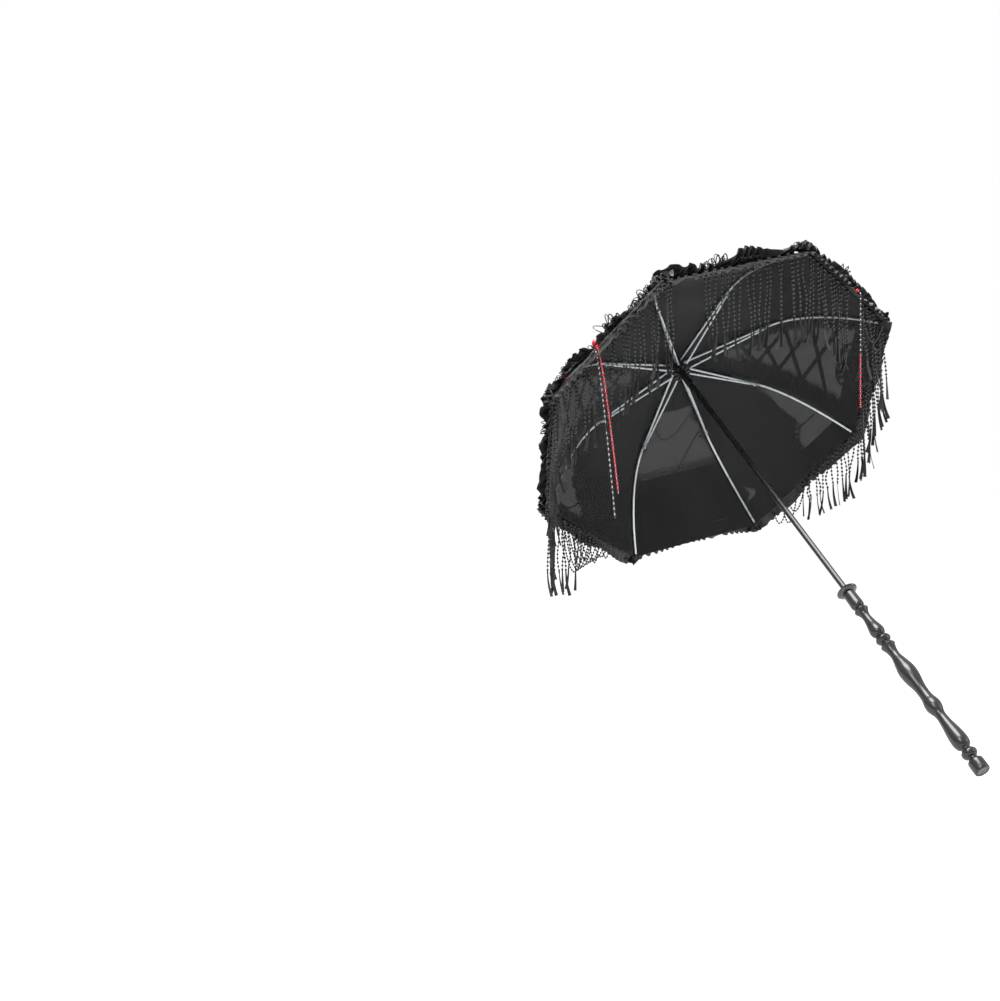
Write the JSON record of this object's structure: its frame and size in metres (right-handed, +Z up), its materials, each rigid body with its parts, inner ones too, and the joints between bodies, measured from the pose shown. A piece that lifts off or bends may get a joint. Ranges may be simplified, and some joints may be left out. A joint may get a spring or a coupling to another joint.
{
  "type": "lace parasol",
  "caption": "Open lace parasol with hinged steel ribs, sliding runner, turned black handle, panelled satin canopy and bead fringe.",
  "frame": {"origin": "middle of the turned handle, on the shaft's axis, where a hand holds the parasol", "axes": "+Z up. The shaft lies in the YZ plane and leans 49.8 degrees from upright: the crown is up and towards +Y, the handle's end is down and towards -Y. +X is to the right of somebody looking along +Y."},
  "size_m": [0.693, 0.8828, 0.8116],
  "materials": {
    "black_tube": "satin black enamel",
    "black_plastic": "moulded, matte",
    "turned_handle": "black lacquer, satin",
    "polished_bead": "polished",
    "satin_lace": "black satin with corded lace",
    "bead_fringe": "glossy black beads and ribbon",
    "steel": "bright plated"
  },
  "bodies": {
    "shaft": {"shaft": "black_tube", "crown_notch": "black_plastic", "crown_cap": "black_plastic", "ferrule": "turned_handle", "finial_ball": "polished_bead", "tip_ring": "turned_handle", "handle_cup": "turned_handle", "handle_grip": "turned_handle", "handle_end_cap": "turned_handle"},
    "runner": {"runner": "black_plastic"},
    "open_catch": {"open_catch": "steel"},
    "closed_catch": {"closed_catch": "steel"},
    "rib_1": {"rib_1": "steel", "rib_tip_1": "black_plastic", "rib_rivet_1": "steel", "canopy_1": "satin_lace"},
    "rib_2": {"rib_2": "steel", "rib_tip_2": "black_plastic", "rib_rivet_2": "steel", "canopy_2": "satin_lace"},
    "rib_3": {"rib_3": "steel", "rib_tip_3": "black_plastic", "rib_rivet_3": "steel", "canopy_3": "satin_lace"},
    "rib_4": {"rib_4": "steel", "rib_tip_4": "black_plastic", "rib_rivet_4": "steel", "canopy_4": "satin_lace"},
    "rib_5": {"rib_5": "steel", "rib_tip_5": "black_plastic", "rib_rivet_5": "steel", "canopy_5": "satin_lace"},
    "rib_6": {"rib_6": "steel", "rib_tip_6": "black_plastic", "rib_rivet_6": "steel", "canopy_6": "satin_lace"},
    "rib_7": {"rib_7": "steel", "rib_tip_7": "black_plastic", "rib_rivet_7": "steel", "canopy_7": "satin_lace"},
    "rib_8": {"rib_8": "steel", "rib_tip_8": "black_plastic", "rib_rivet_8": "steel", "canopy_8": "satin_lace"},
    "stretcher_1": {"stretcher_1": "steel"},
    "stretcher_2": {"stretcher_2": "steel"},
    "stretcher_3": {"stretcher_3": "steel"},
    "stretcher_4": {"stretcher_4": "steel"},
    "stretcher_5": {"stretcher_5": "steel"},
    "stretcher_6": {"stretcher_6": "steel"},
    "stretcher_7": {"stretcher_7": "steel"},
    "stretcher_8": {"stretcher_8": "steel"},
    "fringe_1": {"fringe_1": "bead_fringe"},
    "fringe_2": {"fringe_2": "bead_fringe"},
    "fringe_3": {"fringe_3": "bead_fringe"},
    "fringe_4": {"fringe_4": "bead_fringe"},
    "fringe_5": {"fringe_5": "bead_fringe"},
    "fringe_6": {"fringe_6": "bead_fringe"},
    "fringe_7": {"fringe_7": "bead_fringe"},
    "fringe_8": {"fringe_8": "bead_fringe"}
  },
  "joints": [
    {"name": "rib_1_fold", "type": "hinge", "parent": "shaft", "child": "rib_1", "pos_m": [-0.00713, 0.59035, 0.50985], "axis": [0.7615, -0.4183, 0.495], "range_deg": [0, 63], "deforming": ["canopy_1"]},
    {"name": "rib_2_fold", "type": "hinge", "parent": "shaft", "child": "rib_2", "pos_m": [0.00088, 0.58868, 0.51183], "axis": [0.9968, 0.0518, -0.0613], "range_deg": [0, 63], "deforming": ["canopy_2"]},
    {"name": "rib_3_fold", "type": "hinge", "parent": "shaft", "child": "rib_3", "pos_m": [0.00838, 0.59116, 0.5089], "axis": [0.6481, 0.4915, -0.5817], "range_deg": [0, 63], "deforming": ["canopy_3"]},
    {"name": "rib_4_fold", "type": "hinge", "parent": "shaft", "child": "rib_4", "pos_m": [0.01097, 0.59633, 0.50278], "axis": [-0.0802, 0.6434, -0.7613], "range_deg": [0, 63], "deforming": ["canopy_4"]},
    {"name": "rib_5_fold", "type": "hinge", "parent": "shaft", "child": "rib_5", "pos_m": [0.00713, 0.60117, 0.49706], "axis": [-0.7615, 0.4183, -0.495], "range_deg": [0, 63], "deforming": ["canopy_5"]},
    {"name": "rib_6_fold", "type": "hinge", "parent": "shaft", "child": "rib_6", "pos_m": [-0.00088, 0.60284, 0.49508], "axis": [-0.9968, -0.0518, 0.0613], "range_deg": [0, 63], "deforming": ["canopy_6"]},
    {"name": "rib_7_fold", "type": "hinge", "parent": "shaft", "child": "rib_7", "pos_m": [-0.00838, 0.60036, 0.49801], "axis": [-0.6481, -0.4915, 0.5817], "range_deg": [0, 63], "deforming": ["canopy_7"]},
    {"name": "rib_8_fold", "type": "hinge", "parent": "shaft", "child": "rib_8", "pos_m": [-0.01097, 0.59519, 0.50413], "axis": [0.0802, -0.6434, 0.7613], "range_deg": [0, 63], "deforming": ["canopy_8"]},
    {"name": "stretcher_1_swing", "type": "hinge", "parent": "rib_1", "child": "stretcher_1", "pos_m": [-0.11342, 0.48744, 0.5864], "axis": [0.7615, -0.4183, 0.495], "range_deg": [-141.75, 0]},
    {"name": "stretcher_2_swing", "type": "hinge", "parent": "rib_2", "child": "stretcher_2", "pos_m": [0.01404, 0.46087, 0.61784], "axis": [0.9968, 0.0518, -0.0613], "range_deg": [-141.75, 0]},
    {"name": "stretcher_3_swing", "type": "hinge", "parent": "rib_3", "child": "stretcher_3", "pos_m": [0.13327, 0.50025, 0.57124], "axis": [0.6481, 0.4915, -0.5817], "range_deg": [-141.75, 0]},
    {"name": "stretcher_4_swing", "type": "hinge", "parent": "rib_4", "child": "stretcher_4", "pos_m": [0.17444, 0.58252, 0.47389], "axis": [-0.0802, 0.6434, -0.7613], "range_deg": [-141.75, 0]},
    {"name": "stretcher_5_swing", "type": "hinge", "parent": "rib_5", "child": "stretcher_5", "pos_m": [0.11342, 0.65948, 0.38282], "axis": [-0.7615, 0.4183, -0.495], "range_deg": [-141.75, 0]},
    {"name": "stretcher_6_swing", "type": "hinge", "parent": "rib_6", "child": "stretcher_6", "pos_m": [-0.01404, 0.68605, 0.35138], "axis": [-0.9968, -0.0518, 0.0613], "range_deg": [-141.75, 0]},
    {"name": "stretcher_7_swing", "type": "hinge", "parent": "rib_7", "child": "stretcher_7", "pos_m": [-0.13327, 0.64667, 0.39798], "axis": [-0.6481, -0.4915, 0.5817], "range_deg": [-141.75, 0]},
    {"name": "stretcher_8_swing", "type": "hinge", "parent": "rib_8", "child": "stretcher_8", "pos_m": [-0.17444, 0.5644, 0.49533], "axis": [0.0802, -0.6434, 0.7613], "range_deg": [-141.75, 0]},
    {"name": "fringe_1_swing", "type": "hinge", "parent": "rib_1", "child": "fringe_1", "pos_m": [-0.22263, 0.30486, 0.60011], "axis": [0.7615, -0.4183, 0.495], "range_deg": [-105.02, 0], "deforming": ["fringe_1"]},
    {"name": "fringe_2_swing", "type": "hinge", "parent": "rib_2", "child": "fringe_2", "pos_m": [0.02755, 0.25271, 0.66183], "axis": [0.9968, 0.0518, -0.0613], "range_deg": [-112.71, 0], "deforming": ["fringe_2"]},
    {"name": "fringe_3_swing", "type": "hinge", "parent": "rib_3", "child": "fringe_3", "pos_m": [0.26159, 0.33001, 0.57036], "axis": [0.6481, 0.4915, -0.5817], "range_deg": [-100.48, 0], "deforming": ["fringe_3"]},
    {"name": "fringe_4_swing", "type": "hinge", "parent": "rib_4", "child": "fringe_4", "pos_m": [0.34239, 0.49149, 0.37927], "axis": [-0.0802, 0.6434, -0.7613], "range_deg": [-57.58, 0], "deforming": ["fringe_4"]},
    {"name": "fringe_5_swing", "type": "hinge", "parent": "rib_5", "child": "fringe_5", "pos_m": [0.22263, 0.64255, 0.20051], "axis": [-0.7615, 0.4183, -0.495], "range_deg": [-20.98, 0], "deforming": ["fringe_5"]},
    {"name": "fringe_6_swing", "type": "hinge", "parent": "rib_6", "child": "fringe_6", "pos_m": [-0.02755, 0.69471, 0.13879], "axis": [-0.9968, -0.0518, 0.0613], "range_deg": [-13.29, 0], "deforming": ["fringe_6"]},
    {"name": "fringe_7_swing", "type": "hinge", "parent": "rib_7", "child": "fringe_7", "pos_m": [-0.26159, 0.6174, 0.23027], "axis": [-0.6481, -0.4915, 0.5817], "range_deg": [-25.52, 0], "deforming": ["fringe_7"]},
    {"name": "fringe_8_swing", "type": "hinge", "parent": "rib_8", "child": "fringe_8", "pos_m": [-0.34239, 0.45593, 0.42135], "axis": [0.0802, -0.6434, 0.7613], "range_deg": [-68.42, 0], "deforming": ["fringe_8"]},
    {"name": "runner_slide", "type": "slide", "parent": "shaft", "child": "runner", "axis": [0, -0.7638, -0.6455], "range_m": [0, 0.293]},
    {"name": "open_catch_press", "type": "slide", "parent": "shaft", "child": "open_catch", "axis": [-0.891, -0.293, 0.3468], "range_m": [0, 0.0024], "stiffness_N_per_m": 600},
    {"name": "closed_catch_press", "type": "slide", "parent": "shaft", "child": "closed_catch", "axis": [-0.891, -0.293, 0.3468], "range_m": [0, 0.0024], "stiffness_N_per_m": 600}
  ],
  "couplings": [
    {"joint": "rib_2_fold", "follows": "rib_1_fold", "ratio": 1},
    {"joint": "rib_3_fold", "follows": "rib_1_fold", "ratio": 1},
    {"joint": "rib_4_fold", "follows": "rib_1_fold", "ratio": 1},
    {"joint": "rib_5_fold", "follows": "rib_1_fold", "ratio": 1},
    {"joint": "rib_6_fold", "follows": "rib_1_fold", "ratio": 1},
    {"joint": "rib_7_fold", "follows": "rib_1_fold", "ratio": 1},
    {"joint": "rib_8_fold", "follows": "rib_1_fold", "ratio": 1},
    {"joint": "stretcher_1_swing", "follows": "rib_1_fold", "ratio": -2.25},
    {"joint": "stretcher_2_swing", "follows": "rib_1_fold", "ratio": -2.25},
    {"joint": "stretcher_3_swing", "follows": "rib_1_fold", "ratio": -2.25},
    {"joint": "stretcher_4_swing", "follows": "rib_1_fold", "ratio": -2.25},
    {"joint": "stretcher_5_swing", "follows": "rib_1_fold", "ratio": -2.25},
    {"joint": "stretcher_6_swing", "follows": "rib_1_fold", "ratio": -2.25},
    {"joint": "stretcher_7_swing", "follows": "rib_1_fold", "ratio": -2.25},
    {"joint": "stretcher_8_swing", "follows": "rib_1_fold", "ratio": -2.25},
    {"joint": "fringe_1_swing", "follows": "rib_1_fold", "ratio": -1.667},
    {"joint": "fringe_2_swing", "follows": "rib_1_fold", "ratio": -1.789},
    {"joint": "fringe_3_swing", "follows": "rib_1_fold", "ratio": -1.595},
    {"joint": "fringe_4_swing", "follows": "rib_1_fold", "ratio": -0.9139},
    {"joint": "fringe_5_swing", "follows": "rib_1_fold", "ratio": -0.333},
    {"joint": "fringe_6_swing", "follows": "rib_1_fold", "ratio": -0.211},
    {"joint": "fringe_7_swing", "follows": "rib_1_fold", "ratio": -0.405},
    {"joint": "fringe_8_swing", "follows": "rib_1_fold", "ratio": -1.0861},
    {"joint": "runner_slide", "follows": "rib_1_fold", "m_per_rad": 0.26647}
  ]
}
